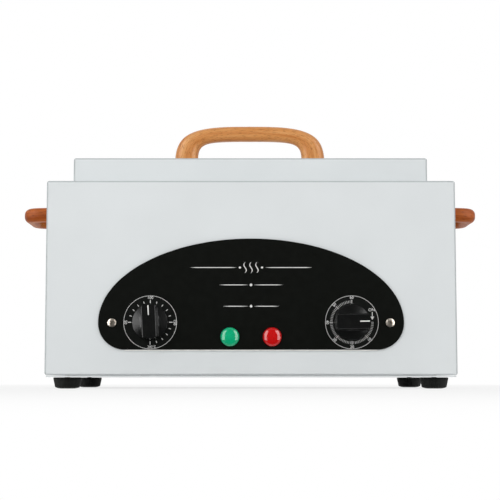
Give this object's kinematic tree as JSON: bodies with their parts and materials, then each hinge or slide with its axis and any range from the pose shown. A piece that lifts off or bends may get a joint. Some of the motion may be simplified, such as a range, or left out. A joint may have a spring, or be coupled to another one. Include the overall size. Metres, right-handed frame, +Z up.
{
  "type": "dry heat sterilizer",
  "caption": "Bench-top dry heat sterilizer: light grey steel box on rubber feet with a hinged lid, wooden bow handles, thermostat and timer knobs and pilot lamps.",
  "frame": {"origin": "middle of the footprint on the bench surface, under the whole object's bounding box", "axes": "+X to the right as seen from the front, +Y towards the back, +Z up; the control panel faces -Y"},
  "size_m": [0.3842, 0.2004, 0.2261],
  "materials": {
    "painted_steel": "light grey powder coat, satin",
    "zinc_steel": "zinc plated",
    "screw_steel": "plated, cross recess",
    "stainless": "brushed stainless",
    "rubber_foot": "matt moulded",
    "panel_black": "matt black",
    "knob_black": "semi-gloss black",
    "brass_shaft": "turned",
    "copper_tube": "drawn tube",
    "grey_moulding": "moulded",
    "green_lens": "clear tinted lens",
    "red_lens": "clear tinted lens",
    "pale_wood": "varnished",
    "dark_wood": "varnished",
    "glass_wool": "glass wool",
    "mica": "pressed mica",
    "wire_sleeve": "sleeved wire"
  },
  "bodies": {
    "housing": {"housing_shell": "painted_steel", "back_panel": "painted_steel", "bottom_plate": "painted_steel", "insulation_cradle": "zinc_steel", "heater_clamp_plate": "zinc_steel", "heater_nut_left": "zinc_steel", "heater_nut_right": "zinc_steel", "timer_bell": "zinc_steel", "hinge_body_leaf_left": "zinc_steel", "hinge_body_leaf_right": "zinc_steel", "hinge_pin_left": "zinc_steel", "hinge_pin_right": "zinc_steel", "foot_screw_front_left": "screw_steel", "foot_screw_front_right": "screw_steel", "foot_screw_rear_left": "screw_steel", "foot_screw_rear_right": "screw_steel", "back_screw_lower_left": "screw_steel", "back_screw_lower_right": "screw_steel", "back_screw_upper_left": "screw_steel", "back_screw_upper_right": "screw_steel", "side_handle_screw_left_front": "screw_steel", "side_handle_screw_right_front": "screw_steel", "side_handle_screw_left_rear": "screw_steel", "side_handle_screw_right_rear": "screw_steel", "panel_screw_left": "screw_steel", "panel_screw_right": "screw_steel", "inner_tank": "stainless", "foot_front_left": "rubber_foot", "foot_front_right": "rubber_foot", "foot_rear_left": "rubber_foot", "foot_rear_right": "rubber_foot", "control_panel": "panel_black", "power_inlet": "knob_black", "thermal_cutout": "knob_black", "thermostat_capillary": "copper_tube", "thermostat_body": "grey_moulding", "timer_body": "grey_moulding", "lamp_holder_green": "grey_moulding", "lamp_holder_red": "grey_moulding", "terminal_block": "grey_moulding", "lamp_lens_green": "green_lens", "lamp_lens_red": "red_lens", "side_handle_left": "dark_wood", "side_handle_right": "dark_wood", "tank_insulation": "glass_wool", "heater_plate": "mica", "wiring_loom": "wire_sleeve"},
    "lid": {"lid_shell": "painted_steel", "lid_insulation": "glass_wool", "lid_liner": "stainless", "lid_handle": "pale_wood", "lid_handle_screw_left": "screw_steel", "lid_handle_screw_right": "screw_steel", "hinge_lid_leaf_left": "zinc_steel", "hinge_lid_leaf_right": "zinc_steel"},
    "thermostat_control": {"thermostat_knob": "knob_black", "thermostat_shaft": "brass_shaft"},
    "timer_control": {"timer_knob": "knob_black", "timer_shaft": "brass_shaft"},
    "tray": {"instrument_tray": "stainless"}
  },
  "joints": [
    {"name": "lid_hinge", "type": "hinge", "parent": "housing", "child": "lid", "pos_m": [0, 0.08525, 0.1657], "axis": [-1, 0, 0], "range_deg": [0, 105]},
    {"name": "thermostat_turn", "type": "hinge", "parent": "housing", "child": "thermostat_control", "pos_m": [-0.078, -0.08225, 0.0512], "axis": [0, 1, 0], "range_deg": [-85.5, 184.5]},
    {"name": "timer_turn", "type": "hinge", "parent": "housing", "child": "timer_control", "pos_m": [0.078, -0.08225, 0.0512], "axis": [0, 1, 0], "range_deg": [-27, 270]},
    {"name": "tray_lift", "type": "slide", "parent": "housing", "child": "tray", "axis": [0, 0, 1], "range_m": [0, 0.02]}
  ]
}
